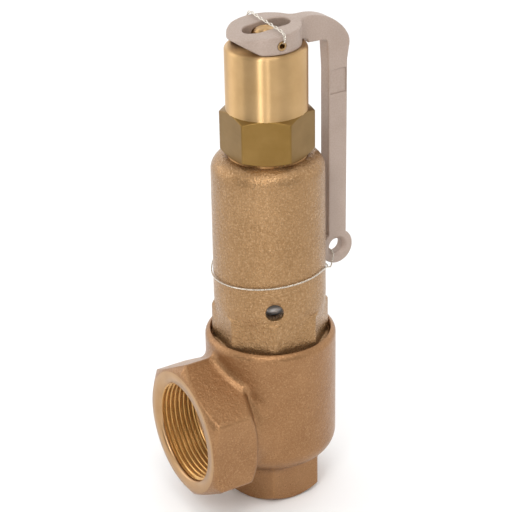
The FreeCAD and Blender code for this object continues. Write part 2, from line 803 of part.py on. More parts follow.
# One turn round the bonnet: a tilted ring that dips under the eye, where its ends meet.
loop_z = 114.2
loop_tilt = 2.4
dip_z = 108.4
dip_middle = -2.0
dip_half = 12.0
dip_blend = 34.0
loop_step = 18.0
loop_points = []
for step in range(20):
    azimuth = -16.0 - loop_step * step
    away = abs((azimuth - dip_middle + 180) % 360 - 180)
    share = min(max((away - dip_half) / dip_blend, 0.0), 1.0)
    share = share * share * (3 - 2 * share)
    tilted = loop_z + loop_tilt * math.cos(math.radians(azimuth + 60))
    reach = (low_r.value + seal_wire + 0.3) / math.cos(math.radians(loop_step / 2))
    loop_points.append((reach * math.cos(math.radians(azimuth)),
                        reach * math.sin(math.radians(azimuth)),
                        dip_z + (tilted - dip_z) * share))
node("bonnet_seal_wire", wire_tube("bonnet_wire", loop_points, seal_wire))

# The link goes through the eye and round its lower inner side, with a small curl in front.
eye_x = arm_x.value
eye_up = eye_z.value
face = arm_w.value + seal_wire + 0.6
node("eye_seal_wire", wire_tube("eye_wire", [
    (eye_x - 2.0, 0.4, eye_up - 2.0), (eye_x - 2.1, 1 - face, eye_up - 2.1),
    (eye_x - 3.4, -face - 0.2, eye_up - 4.1), (eye_x - 3.9, -face - 0.3, eye_up - 6.2),
    (eye_x - 4.4, -face - 0.5, eye_up - 8.3), (eye_x - 6.0, -face - 0.4, eye_up - 8.5),
    (eye_x - 6.4, -face - 0.1, eye_up - 7.1), (eye_x - 5.9, 2.4 - face, eye_up - 7.3),
    (eye_x - 6.4, face - 1.0, eye_up - 7.1), (eye_x - 4.9, face, eye_up - 4.9),
    (eye_x - 2.1, face - 0.6, eye_up - 2.1), (eye_x - 2.0, 1.4, eye_up - 2.0),
], seal_wire))

# ---------------------------------------------------------------- write the sub-parts
doc.recompute()
for thing in doc.Objects:
    if "Invalid" in thing.State or "Error" in thing.State:
        raise RuntimeError(f"{thing.Name} did not compute: {thing.State}")
for thing in nodes:
    if thing.Shape.isNull() or not thing.Shape.isValid():
        raise RuntimeError(f"{thing.Label} has no valid shape")

os.makedirs("parts", exist_ok=True)
for thing in nodes:
    thing.Shape.exportStep(f"parts/{thing.Label}.step")
    solids = len(thing.Shape.Solids)
    print(f"{thing.Label}: {solids} solid(s), {thing.Shape.Volume / 1000:.2f} cm3")
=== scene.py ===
import itertools
import json
import math

import bpy
import numpy as np
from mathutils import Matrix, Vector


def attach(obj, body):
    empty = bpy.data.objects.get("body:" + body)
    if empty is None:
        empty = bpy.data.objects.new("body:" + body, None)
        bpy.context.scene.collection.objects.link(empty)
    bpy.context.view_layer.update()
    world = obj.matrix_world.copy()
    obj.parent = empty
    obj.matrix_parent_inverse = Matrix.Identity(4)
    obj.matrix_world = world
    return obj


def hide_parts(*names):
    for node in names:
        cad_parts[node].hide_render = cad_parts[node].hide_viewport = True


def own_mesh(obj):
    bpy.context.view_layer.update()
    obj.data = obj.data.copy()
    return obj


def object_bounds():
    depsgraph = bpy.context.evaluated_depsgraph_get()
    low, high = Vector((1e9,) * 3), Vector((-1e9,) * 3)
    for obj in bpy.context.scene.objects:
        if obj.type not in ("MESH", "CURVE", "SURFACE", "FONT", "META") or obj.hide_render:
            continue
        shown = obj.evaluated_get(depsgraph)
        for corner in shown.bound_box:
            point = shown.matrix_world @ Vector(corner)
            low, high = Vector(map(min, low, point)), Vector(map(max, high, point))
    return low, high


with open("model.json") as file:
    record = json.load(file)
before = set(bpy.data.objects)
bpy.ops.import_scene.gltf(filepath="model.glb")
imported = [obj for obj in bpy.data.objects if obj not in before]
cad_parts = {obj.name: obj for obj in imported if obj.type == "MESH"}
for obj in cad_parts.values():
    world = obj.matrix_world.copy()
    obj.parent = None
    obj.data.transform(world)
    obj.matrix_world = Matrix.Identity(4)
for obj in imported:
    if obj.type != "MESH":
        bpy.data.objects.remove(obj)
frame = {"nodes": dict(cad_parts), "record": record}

import openvdb
from mathutils import Vector

# A pressure relief valve.  Shapes are worked out in millimetres and made in metres.
# Angles written as numbers are in degrees.
cad_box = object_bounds()
MM = 0.001

# The valve's own measures that more than one place needs.
OUTLET_Z = 41.4
OUTLET_FACE, OUTLET_THREAD_START = 48.0, 29.0
OUTLET_BORE, INLET_BORE = 22.42, 15.146
BARREL = 30.0
SHELL = 25.45
VENT_AZIMUTH, VENT_Z = -116.5, 102.8
CAP_TURN, CAP_FLATS, CAP_BARREL = -152.4, 36.0, 17.9
PIN_X, PIN_Z = -1.6, 222.4
ARM_X, ARM_HALF = 34.5, 3.5
EYE_Z, EYE_RADIUS, EYE_BOSS = 115.3, 3.5, 8.2

# ------------------------------------------------------------------ camera, floor, light

CAMERA_PLACE = (-0.33393, -0.5543, 0.44483)
CAMERA_TURN = (63.2417, 1.0257, -31.0569)
FOCAL_LENGTH, SENSOR_WIDTH = 113.4, 36.0

# Brightness of the room's walls by compass direction.
ROOM = ((-180, 0.0), (-148, 0.0), (-145, 0.15), (-130, 0.15), (-126, 0.05), (-108, 0.05),
        (-100, 0.4), (-60, 0.5), (-46, 1.0), (20, 1.15), (120, 1.2), (172, 1.2), (178, 0.0))
ROOM_STRENGTH = 1.2
ROOM_TINT = (1.0, 0.995, 0.985)
CEILING = (0.8, 0.8, 0.8, 1)
CEILING_CLIMB = (0.42, 0.65)

# Name, compass direction, height and distance in metres, size in metres, watts.
SOFTBOXES = (
    ("key_strip", -138.5, 0.5, 1.1, (0.12, 1.0), 2.4),
    ("fine_strip", -117.5, 0.5, 1.1, (0.03, 1.0), 1.2),
    ("front", -138, 1.05, 0.95, (0.2, 0.4), 2.4),
    ("left_wall", 130, 0.7, 1.3, (0.7, 1.0), 2.5),
    ("top", -100, 1.45, 0.6, (0.7, 0.7), 4.0),
)
SOFTBOX_AIM = (0, 0, 0.12)


def linked(name, data):
    """A new object in the scene."""
    made = bpy.data.objects.new(name, data)
    bpy.context.scene.collection.objects.link(made)
    return made


def camera():
    data = bpy.data.cameras.new("camera")
    data.sensor_width = SENSOR_WIDTH
    data.lens = FOCAL_LENGTH
    data.clip_start = 0.01
    data.clip_end = 20.0
    made = linked("camera", data)
    made.location = CAMERA_PLACE
    made.rotation_euler = [math.radians(a) for a in CAMERA_TURN]
    bpy.context.scene.camera = made


def floor():
    size, gap = 6.0, 0.0002
    data = bpy.data.meshes.new("floor")
    data.from_pydata([(-size, -size, 0), (size, -size, 0), (size, size, 0), (-size, size, 0)],
                     [], [(0, 1, 2, 3)])
    made = linked("floor", data)
    made.location.z = cad_box[0].z - gap
    pale = bpy.data.materials.new("floor_pale")
    pale.use_nodes = True
    shader = pale.node_tree.nodes["Principled BSDF"]
    shader.inputs["Base Color"].default_value = (0.93, 0.93, 0.93, 1)
    shader.inputs["Roughness"].default_value = 0.9
    shader.inputs["Specular IOR Level"].default_value = 0.1
    data.materials.append(pale)


def softbox(name, azimuth, height, distance, size, power):
    """An area light in a compass direction from the valve, aimed at its middle."""
    data = bpy.data.lights.new(name, "AREA")
    data.shape = "RECTANGLE"
    data.size, data.size_y = size
    data.energy = power
    made = linked(name, data)
    angle = math.radians(azimuth)
    made.location = (distance * math.cos(angle), distance * math.sin(angle), height)
    aim = Vector(SOFTBOX_AIM) - made.location
    made.rotation_euler = aim.to_track_quat("-Z", "Y").to_euler()


def studio():
    """A room whose walls differ by compass direction, an even ceiling, and the softboxes."""
    world = bpy.data.worlds.new("studio")
    world.use_nodes = True
    tree = world.node_tree
    back = tree.nodes["Background"]
    back.inputs["Strength"].default_value = ROOM_STRENGTH
    place = tree.nodes.new("ShaderNodeTexCoord")
    split = tree.nodes.new("ShaderNodeSeparateXYZ")
    compass = tree.nodes.new("ShaderNodeMath")
    compass.operation = "ARCTAN2"
    share = tree.nodes.new("ShaderNodeMapRange")
    share.inputs["From Min"].default_value = -math.pi
    share.inputs["From Max"].default_value = math.pi
    walls = tree.nodes.new("ShaderNodeValToRGB")
    climb = tree.nodes.new("ShaderNodeMapRange")
    climb.inputs["From Min"].default_value = CEILING_CLIMB[0]
    climb.inputs["From Max"].default_value = CEILING_CLIMB[1]
    ceiling = tree.nodes.new("ShaderNodeMix")
    ceiling.data_type = "RGBA"
    ceiling.inputs[7].default_value = CEILING
    for source, target in (
            (place.outputs["Generated"], split.inputs[0]),
            (split.outputs[1], compass.inputs[0]),
            (split.outputs[0], compass.inputs[1]),
            (compass.outputs[0], share.inputs["Value"]),
            (share.outputs["Result"], walls.inputs["Fac"]),
            (split.outputs[2], climb.inputs["Value"]),
            (climb.outputs["Result"], ceiling.inputs[0]),
            (walls.outputs["Color"], ceiling.inputs[6]),
            (ceiling.outputs[2], back.inputs["Color"])):
        tree.links.new(source, target)
    spots = walls.color_ramp.elements
    while len(spots) > 1:
        spots.remove(spots[-1])
    for number, (azimuth, level) in enumerate(ROOM):
        at = (azimuth + 180) / 360
        spot = spots[0] if number == 0 else spots.new(at)
        spot.position = at
        spot.color = (*(level * tint for tint in ROOM_TINT), 1)
    bpy.context.scene.world = world
    bpy.context.scene.view_settings.view_transform = "Standard"
    for facts in SOFTBOXES:
        softbox(*facts)


# ------------------------------------------------------------------ materials

# Dark and light colour, size of the grain and height of its print in millimetres, metallic,
# roughness on the grain crests and between them, and the colour of the glints painted on them.
CAST = {
    "bronze_cast": ((0.25, 0.12, 0.046), (0.345, 0.18, 0.077), 0.9, 0.34, 0.65,
                    (0.26, 0.42), (0.40, 0.22, 0.10)),
    "bonnet_cast": ((0.265, 0.142, 0.055), (0.365, 0.21, 0.094), 0.95, 0.6, 0.68,
                    (0.21, 0.37), (0.48, 0.30, 0.155)),
    "lever_cast": ((0.345, 0.262, 0.212), (0.425, 0.332, 0.28), 0.7, 0.05, 0.2,
                   (0.38, 0.52), None),
    "gasket": ((0.05, 0.048, 0.045), (0.09, 0.085, 0.08), 0.4, 0.02, 0.0, (0.7, 0.9), None),
    "seal_ptfe": ((0.78, 0.78, 0.75), (0.88, 0.88, 0.86), 1.5, 0.004, 0.0, (0.35, 0.5), None),
}

# Dark and light colour, roughness, height of the tool marks in millimetres, metallic, and for
# marks that run round the outlet's axis, their spacing in millimetres.
TURNED = {
    "brass_turned": ((0.56, 0.355, 0.16), (0.67, 0.445, 0.22), (0.38, 0.47), 0.004, 1.0, None),
    # brass_hexagon is the cap's brass made much darker, painted shade on the hexagon's flats.
    "brass_hexagon": ((0.195, 0.112, 0.03), (0.262, 0.158, 0.052), (0.3, 0.42), 0.003, 1.0,
                      None),
    "bronze_machined": ((0.40, 0.235, 0.115), (0.50, 0.315, 0.165), (0.28, 0.42), 0.006, 1.0,
                        0.35),
    # bronze_thread is machined bronze made much lighter, painted light in the dim bores.
    "bronze_thread": ((0.56, 0.30, 0.085), (0.76, 0.46, 0.165), (0.20, 0.32), 0.004, 0.7, 0.2),
    "spring_steel": ((0.55, 0.52, 0.50), (0.74, 0.71, 0.69), (0.3, 0.45), 0.004, 0.5, None),
}
UPRIGHT_PITCH, UPRIGHT_STRETCH = 0.35, (0.015, 0.015, 1.0)


class Look:
    """A node material on a Principled shader, with its pattern in millimetres."""

    def __init__(self, name, metallic):
        self.material = bpy.data.materials.new(name)
        self.material.use_nodes = True
        self.tree = self.material.node_tree
        self.shader = self.tree.nodes["Principled BSDF"]
        self.shader.inputs["Metallic"].default_value = metallic
        self.place = self.add("ShaderNodeTexCoord").outputs["Object"]

    def add(self, kind, **settings):
        made = self.tree.nodes.new(kind)
        for key, value in settings.items():
            setattr(made, key, value)
        return made

    def join(self, source, target):
        self.tree.links.new(source, target)

    def noise(self, size, detail, rough=0.55, stretch=(1, 1, 1), warp=None):
        """Noise whose features are about size millimetres across, from 0 to 1."""
        scale = self.add("ShaderNodeMapping")
        scale.inputs["Scale"].default_value = [s / (size * MM) for s in stretch]
        self.join(warp or self.place, scale.inputs["Vector"])
        made = self.add("ShaderNodeTexNoise")
        made.inputs["Scale"].default_value = 1.0
        made.inputs["Detail"].default_value = detail
        made.inputs["Roughness"].default_value = rough
        self.join(scale.outputs["Vector"], made.inputs["Vector"])
        return made.outputs["Fac"]

    def spread(self, value, low, high, new_low=0.0, new_high=1.0):
        """The range from low to high, stretched over a new one."""
        made = self.add("ShaderNodeMapRange")
        for key, number in zip(("From Min", "From Max", "To Min", "To Max"),
                               (low, high, new_low, new_high)):
            made.inputs[key].default_value = number
        self.join(value, made.inputs["Value"])
        return made.outputs["Result"]

    def blend(self, share, first, second):
        """A mix of two colours, each a constant or another node's output."""
        made = self.add("ShaderNodeMix", data_type="RGBA")
        for socket, colour in ((6, first), (7, second)):
            if isinstance(colour, tuple):
                made.inputs[socket].default_value = (*colour, 1)
            else:
                self.join(colour, made.inputs[socket])
        self.join(share, made.inputs[0])
        return made.outputs[2]

    def mean(self, first, second, share):
        """A mix of two values."""
        made = self.add("ShaderNodeMix", data_type="FLOAT")
        made.inputs[0].default_value = share
        self.join(first, made.inputs[2])
        self.join(second, made.inputs[3])
        return made.outputs[0]

    def around_outlet(self):
        """Coordinates: the distance from the outlet's axis, and the distance along it."""
        split = self.add("ShaderNodeSeparateXYZ")
        self.join(self.place, split.inputs[0])
        shift = self.add("ShaderNodeMath", operation="SUBTRACT")
        self.join(split.outputs[2], shift.inputs[0])
        shift.inputs[1].default_value = OUTLET_Z * MM
        flat = self.add("ShaderNodeCombineXYZ")
        self.join(split.outputs[1], flat.inputs[0])
        self.join(shift.outputs[0], flat.inputs[1])
        length = self.add("ShaderNodeVectorMath", operation="LENGTH")
        self.join(flat.outputs[0], length.inputs[0])
        radial = self.add("ShaderNodeCombineXYZ")
        self.join(length.outputs["Value"], radial.inputs[0])
        self.join(split.outputs[0], radial.inputs[1])
        return radial.outputs[0]

    def colour(self, source):
        self.join(source, self.shader.inputs["Base Color"])

    def roughness(self, source):
        self.join(source, self.shader.inputs["Roughness"])

    def bump(self, source, height):
        """Bump of a height in millimetres."""
        made = self.add("ShaderNodeBump")
        made.inputs["Strength"].default_value = 1.0
        made.inputs["Distance"].default_value = height * MM
        self.join(source, made.inputs["Height"])
        self.join(made.outputs["Normal"], self.shader.inputs["Normal"])


def cast_look(name, dark, light, grain, height, metallic, rough, painted_glint_colour):
    """A casting: the print of sand grains, a coarser swell, a cloudy tone, painted glints on
    grain crests.
    """
    look = Look(name, metallic)
    fine = look.noise(grain, 3.0, 0.6)
    cloud = look.spread(look.noise(16.0, 2.0), 0.3, 0.7)
    speck = look.spread(fine, 0.35, 0.65)
    tint = look.blend(look.mean(cloud, speck, 0.5), dark, light)
    # Lighter spots on grain crests: painted glints in the base colour.
    if painted_glint_colour:
        painted_glint_mask = look.spread(look.noise(grain * 0.8, 2.0), 0.5, 0.72)
        tint = look.blend(painted_glint_mask, tint, painted_glint_colour)
    look.colour(tint)
    look.roughness(look.spread(fine, 0.3, 0.7, rough[1], rough[0]))
    look.bump(look.mean(fine, look.noise(grain * 2.6, 2.0), 0.5), height)
    return look


def turned_look(name, dark, light, rough, height, metallic, outlet_pitch):
    """Satin metal with tool marks that run round the z axis, or round the outlet's axis."""
    look = Look(name, metallic)
    if outlet_pitch:
        marks = look.noise(outlet_pitch, 2.0, 0.6, warp=look.around_outlet())
    else:
        marks = look.noise(UPRIGHT_PITCH, 2.0, 0.6, UPRIGHT_STRETCH)
    stain = look.spread(look.noise(9.0, 3.0), 0.3, 0.75)
    look.colour(look.blend(look.mean(stain, marks, 0.35), dark, light))
    look.roughness(look.spread(marks, 0.25, 0.75, rough[0], rough[1]))
    look.bump(marks, height)
    return look


def wire_look(name):
    """Bright drawn wire with a fine streak."""
    look = Look(name, 1.0)
    streak = look.noise(0.4, 2.0)
    look.colour(look.blend(streak, (0.52, 0.47, 0.40), (0.84, 0.79, 0.71)))
    look.roughness(look.spread(streak, 0.3, 0.7, 0.16, 0.34))
    return look


def make_materials():
    looks = {name: cast_look(name, *facts) for name, facts in CAST.items()}
    looks.update({name: turned_look(name, *facts) for name, facts in TURNED.items()})
    looks["seal_wire"] = wire_look("seal_wire")
    cap = looks["brass_turned"]
    cap.shader.inputs["Anisotropic"].default_value = 1.0
    cap.shader.inputs["Anisotropic Rotation"].default_value = 0.25
    tangent = cap.add("ShaderNodeTangent", direction_type="RADIAL", axis="Z")
    cap.join(tangent.outputs[0], cap.shader.inputs["Tangent"])
    return {name: look.material for name, look in looks.items()}


# ------------------------------------------------------------------ mesh helpers


def solid(name, points, faces, smooth=True):
    """An object from points in millimetres."""
    data = bpy.data.meshes.new(name)
    points = np.asarray(points, np.float64) * MM
    data.from_pydata(points.tolist(), [], faces)
    data.validate()
    data.shade_smooth() if smooth else data.shade_flat()
    return linked(name, data)


def stand_in(piece, body, node, slot, *materials):
    """The piece gets its materials, moves with a body and stands for a CAD node."""
    piece.data.materials.clear()
    for material in materials:
        piece.data.materials.append(material)
    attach(piece, body)
    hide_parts(node)


# From a radius, an angle in radians and a distance along an axis to a point.
AXES = {
    "z": lambda r, a, t: (r * math.cos(a), r * math.sin(a), t),
    "-x": lambda r, a, t: (-t, r * math.cos(a), OUTLET_Z - r * math.sin(a)),
}


def lathe(profile, steps, shape=None, axis="z", start=0.0):
    """Turns a closed profile of (radius, along) points about an axis.

    shape(angle, radius, along) may change a point's radius.  Points at radius 0 become one.
    """
    points, index = [], []
    for radius, along in profile:
        if radius == 0:
            index.append([len(points)] * steps)
            points.append(AXES[axis](0.0, 0.0, along))
            continue
        ring = []
        for j in range(steps):
            angle = math.radians(start) + 2 * math.pi * j / steps
            r = shape(angle, radius, along) if shape else radius
            ring.append(len(points))
            points.append(AXES[axis](r, angle, along))
        index.append(ring)
    faces = []
    for below, above in zip(index, index[1:] + index[:1]):
        for j in range(steps):
            k = (j + 1) % steps
            corners = (below[j], below[k], above[k], above[j])
            unique = tuple(dict.fromkeys(corners))
            if len(unique) > 2:
                faces.append(unique)
    return points, faces


def arc(centre, radius, first, last, count):
    """Profile points on an arc between two angles, both ends included."""
    return [(centre[0] + radius * math.cos(math.radians(a)),
             centre[1] + radius * math.sin(math.radians(a)))
            for a in np.linspace(first, last, count + 1)]


def upright(radius, first, last, step):
    """Profile points on a straight wall, the last height left out."""
    return [(radius, float(z)) for z in np.arange(first, last, step)]


def soft_min(a, b, reach):
    share = np.clip(0.5 + 0.5 * (b - a) / reach, 0, 1)
    return b + (a - b) * share - reach * share * (1 - share)


def soft_max(a, b, reach):
    return -soft_min(-a, -b, reach)


def smooth_step(value, low, high):
    """0 up to low, 1 from high, and an eased climb between."""
    share = min(max((value - low) / (high - low), 0.0), 1.0)
    return share * share * (3 - 2 * share)


def polygon_radius(angle, flats, sides, turn, ease):
    """The radius of a regular polygon's outline, corner at turn, with its corners eased."""
    step = 2 * math.pi / sides
    off = (angle - math.radians(turn)) % step - step / 2
    near = flats / 2 / math.cos(off)
    other = flats / 2 / math.cos(step - abs(off))
    return float(soft_min(near, other, ease))


def rounded(u, v, radius):
    """Signed distance to two faces that meet in a round edge, measured from its centre."""
    out = np.hypot(np.maximum(u, 0), np.maximum(v, 0))
    return out + np.minimum(np.maximum(u, v), 0) - radius


def skin(field, low, high, step):
    """The surface in a box where a signed distance field is 0, as points and faces."""
    axes = [np.arange(a, b, step, dtype=np.float32) for a, b in zip(low, high)]
    distance = field(*np.meshgrid(*axes, indexing="ij"))
    volume = openvdb.FloatGrid(background=3.0)
    volume.copyFromArray(np.ascontiguousarray(distance, dtype=np.float32))
    points, _, faces = volume.convertToPolygons(isovalue=0.0, adaptivity=0.0)
    return points * step + np.array(low), faces.tolist()


def outline_points(corners):
    """Corners (x, y) or (x, y, radius, counterclockwise), reached by an arc, as one polygon."""
    arc_step = 4.0
    points = []
    for index, corner in enumerate(corners):
        last = np.array(corner[:2], float)
        if len(corner) == 4:
            radius, counterclockwise = corner[2:]
            first = np.array(corners[index - 1][:2], float)
            chord = last - first
            length = np.linalg.norm(chord)
            side = np.array([-chord[1], chord[0]]) / length
            turn = 1 if counterclockwise else -1
            reach = math.sqrt(max(radius ** 2 - length ** 2 / 4, 0.0))
            centre = (first + last) / 2 + turn * side * reach
            begin = math.atan2(*(first - centre)[::-1])
            sweep = turn * 2 * math.asin(min(length / 2 / radius, 1.0))
            count = max(2, int(abs(math.degrees(sweep)) / arc_step))
            for k in range(1, count):
                angle = begin + sweep * k / count
                points.append(centre + radius * np.array([math.cos(angle), math.sin(angle)]))
        points.append(last)
    return np.array(points)


def polygon_field(points, u, v):
    """Signed distance to a polygon, negative inside."""
    nearest = np.full(u.shape, 1e9)
    inside = np.zeros(u.shape, bool)
    for (ax, ay), (bx, by) in zip(points, np.roll(points, -1, axis=0)):
        ex, ey = bx - ax, by - ay
        share = np.clip(((u - ax) * ex + (v - ay) * ey) / max(ex * ex + ey * ey, 1e-12), 0, 1)
        nearest = np.minimum(nearest, (u - ax - share * ex) ** 2 + (v - ay - share * ey) ** 2)
        if ay != by:
            crosses = (ay > v) != (by > v)
            inside ^= crosses & (u < (v - ay) * ex / ey + ax)
    return np.where(inside, -1, 1) * np.sqrt(nearest)


def carve(piece, *tools):
    """Cuts tools out of a piece and removes them."""
    for tool in tools:
        cut = piece.modifiers.new("cut", "BOOLEAN")
        cut.operation = "DIFFERENCE"
        cut.object = tool
        cut.solver = "MANIFOLD"
    graph = bpy.context.evaluated_depsgraph_get()
    data = bpy.data.meshes.new_from_object(piece.evaluated_get(graph), depsgraph=graph)
    piece.modifiers.clear()
    piece.data = data
    for tool in tools:
        bpy.data.objects.remove(tool)


# ------------------------------------------------------------------ body

# The pipe threads G 1 and G 1 1/2 have eleven turns to the inch and the Whitworth depth.
PITCH = 25.4 / 11
THREAD_DEPTH = 0.640327 * PITCH
ROWS_PER_TURN = 18


def threaded_tool(name, inner, minor, start, stop, outer, axis):
    """A cutter: inner profile, then the thread from start to stop, then the outer profile."""

    def shape(angle, radius, along):
        """A right-hand groove in the wall of radius minor, fading in over its first turn."""
        if radius != minor:
            return radius
        turn = (along / PITCH - angle / (2 * math.pi)) % 1.0
        ramp = 1 - abs(2 * turn - 1)
        wave = 0.35 * ramp + 0.65 * ramp * ramp * (3 - 2 * ramp)
        fade = min(1.0, max(0.0, (along - start) / PITCH))
        return minor + THREAD_DEPTH * wave * fade

    profile = inner + upright(minor, start, stop, PITCH / ROWS_PER_TURN) + outer
    return solid(name, *lathe(profile, 192, shape, axis))


def body_field(x, y, z):
    """The rough casting, before any machining."""
    rho = np.hypot(x, y)
    foot_edge, mouth_edge = 10.5, 3.4
    foot = rounded(rho - (BARREL - foot_edge), 29.6 - z, foot_edge)
    mouth = rounded(rho - (BARREL - mouth_edge), z - 79.9, mouth_edge)
    barrel = np.where(z < 50, foot, mouth)

    up = z - OUTLET_Z
    ring = np.hypot(y, up)
    flats = abs(y)
    for sine in (0.8660254, -0.8660254):
        flats = soft_max(flats, abs(0.5 * y + sine * up), 1.0)
    behind = x + 25
    bevel = (ring - 29.8 + 1.333 * behind) / 1.667
    hexagon = soft_max(flats - 30, soft_max(behind, bevel, 1.0), 1.2)
    hexagon = soft_max(hexagon, -49.5 - x, 0.3)
    neck = np.maximum(np.maximum(ring - 26, x), -29 - x)
    inlet = np.full_like(x, -1e3)
    for angle in (-29.5, 30.5, 90.5):
        a = math.radians(angle)
        inlet = soft_max(inlet, abs(x * math.cos(a) + y * math.sin(a)) - 21, 1.0)
    inlet = np.maximum(np.maximum(inlet, z - 24), -1.5 - z)
    casting = soft_min(soft_min(barrel, hexagon, 3.6), neck, 3.6)
    casting = soft_min(casting, inlet, 3.0)

    chamber = np.maximum(rounded(rho - 19, 31 - z, 6.0), z - 61)
    nozzle = np.maximum(np.maximum(rho - 16, z - 34), (rho - 14 - 0.8 * (34 - z)) / 1.28)
    chamber = soft_max(chamber, -nozzle, 1.0)
    passage = np.maximum(np.maximum(ring - 16, -31 - x), x + 18.5)
    hollow = soft_min(chamber, passage, 2.0)
    return np.maximum(casting, -hollow)


def body_finish(x, y, z):
    """Which of the body's materials a place has: 0 cast, 1 machined, 2 thread, whose colour
    holds painted light.
    """
    from_outlet, from_inlet = math.hypot(y, z - OUTLET_Z), math.hypot(x, y)
    in_outlet, in_inlet = from_outlet < 24.3, from_inlet < 16.9
    if in_outlet and -46.3 < x < -OUTLET_THREAD_START or in_inlet and 1.3 < z < 17.0:
        return 2
    bevel_slope = 0.6592
    on_bevel = abs(x + OUTLET_FACE - (29 - from_outlet) * bevel_slope) < 0.2
    outlet_face = x < -47.9 or in_outlet and x < -46.3 or on_bevel and x < -43.8
    inlet_face = z < 0.1
    return int(outlet_face or inlet_face)


def make_body(looks):
    low, high, step = (-51.0, -32.0, -3.0), (32.0, 32.0, 86.0), 0.5
    piece = solid("body_casting", *skin(body_field, low, high, step))
    outlet = threaded_tool(
        "outlet_tool",
        [(0, 26.6), (15.2, 26.6), (15.8, 27.3), (OUTLET_BORE, 28.9)],
        OUTLET_BORE, OUTLET_THREAD_START, 46.4,
        [(24.02, OUTLET_FACE), (29.0, OUTLET_FACE), (34.84, 44.15), (44.0, 38.1),
         (44.0, 60.0), (0, 60.0)],
        "-x")
    inlet = threaded_tool(
        "inlet_tool",
        [(0, -6.0), (26.0, -6.0), (26.0, 5.46), (24.449, 4.0), (20.2, 0.0), (16.746, 0.0)],
        INLET_BORE, 1.6, 17.0,
        [(12.5, 19.0), (12.5, 34.8), (0, 34.8)],
        "z")
    mouth = solid("mouth_tool", *lathe([
        (0, 60.0), (26.5, 60.0), (26.5, 77.0), (27.5, 77.0), (27.5, 82.7), (28.2, 83.5),
        (28.4, 90.0), (0, 90.0)], 240), smooth=False)
    carve(piece, outlet, inlet, mouth)
    stand_in(piece, "housing", "body", "bronze_cast",
             looks["bronze_cast"], looks["bronze_machined"], looks["bronze_thread"])
    for face in piece.data.polygons:
        face.material_index = body_finish(*(face.center / MM))


# ------------------------------------------------------------------ bonnet and cap


def bonnet_radius(angle, radius, along):
    """The octagon stands in the round shell and its flats run out into it."""
    if radius < 24 or along < 80.5 or along > 102:
        return radius
    flats = 26.6 * 2 * math.cos(math.pi / 8)
    octagon = polygon_radius(angle, flats, 8, VENT_AZIMUTH, 0.2)
    shell = 23.9 + (radius - 23.9) * smooth_step(along, 86.5, 101.5)
    lid = 26.9 - 1.9 * smooth_step(along, 95.3, 97.3)
    return float(soft_max(shell, soft_min(octagon, lid, 0.3), 0.5))


def make_bonnet(looks):
    low, octagon_top, shoulder, top = 63.0, 102.0, 162.1, 168.9
    profile = [
        (20.0, low), (25.4, low), (26.4, low + 1), (26.4, 77.0), (26.5, 78.0), (26.9, 78.0),
        (27.2, 78.3), (27.2, 80.1), (26.9, 80.4), (SHELL, 80.4)]
    for first, last, step in ((80.6, 94.8, 1.2), (94.8, 98.0, 0.2), (98.0, octagon_top, 0.6)):
        profile += upright(SHELL, first, last, step)
    profile += [(SHELL - 0.35 * (z - octagon_top) / 60, float(z))
                for z in np.arange(octagon_top, shoulder, 4.0)]
    profile += arc((18.3, shoulder), 6.8, 0, 90, 12)
    profile += [(13.85, top), (13.85, 180.2), (13.05, 181.0), (10.0, 181.0), (10.0, 158.0)]
    profile += arc((16.0, 154.0), 4.0, 90, 0, 6) + [(20.0, 120.0), (20.0, 92.0)]
    piece = solid("bonnet_casting", *lathe(profile, 256, bonnet_radius, start=VENT_AZIMUTH))
    points, faces = lathe([(0, 10.0), (4.0, 10.0), (4.0, 25.0), (4.7, 25.9), (4.7, 34.0),
                           (0, 34.0)], 64)
    turn = math.radians(VENT_AZIMUTH)
    points = [(t * math.cos(turn) - x * math.sin(turn), t * math.sin(turn) + x * math.cos(turn),
               VENT_Z + y) for x, y, t in points]
    carve(piece, solid("vent_tool", points, faces))
    stand_in(piece, "housing", "bonnet", "bronze_cast", looks["bonnet_cast"])


def cap_radius(angle, radius, along):
    """The foot is a hexagon with its edges turned off, and the barrel above it is round."""
    if radius < CAP_BARREL + 0.05:
        return radius
    return float(soft_min(radius, polygon_radius(angle, CAP_FLATS, 6, CAP_TURN, 0.3), 0.25))


def make_cap(looks):
    foot, hexagon, shoulder, top = 168.9, 170.0, 190.1, 218.4
    profile = [(13.95, foot), (17.6, foot), (17.6, hexagon)]
    profile += [(18.0 + 2.9 * t, hexagon + 1.3 * t) for t in np.linspace(0, 1, 12)]
    profile += upright(20.9, 173.0, 187.0, 2.0)
    profile += [(20.9 - 3.0 * t, shoulder - 1.7 * (1 - t)) for t in np.linspace(0, 1, 14)]
    profile += [(CAP_BARREL, z) for z in (190.4, 196.0, 203.0, 210.0)]
    profile += arc((16.4, 216.9), 1.5, 0, 90, 8)
    profile += [(5.68, top), (5.08, top - 0.6), (5.08, 212.0), (12.2, 212.0)]
    profile += arc((12.2, 210.0), 2.0, 90, 0, 5) + [(14.2, 181.0), (13.95, 181.0)]
    piece = solid("cap_turned", *lathe(profile, 288, cap_radius, start=CAP_TURN))
    stand_in(piece, "housing", "cap", "brass_turned",
             looks["brass_turned"], looks["brass_hexagon"])
    # The hexagon's faces take the darker brass, painted shade.
    for face in piece.data.polygons:
        middle = face.center / MM
        at_hexagon = hexagon - 0.1 < middle.z < shoulder - 0.05
        if at_hexagon and math.hypot(*middle.xy) > CAP_BARREL + 0.05:
            face.material_index = 1


# ------------------------------------------------------------------ lever


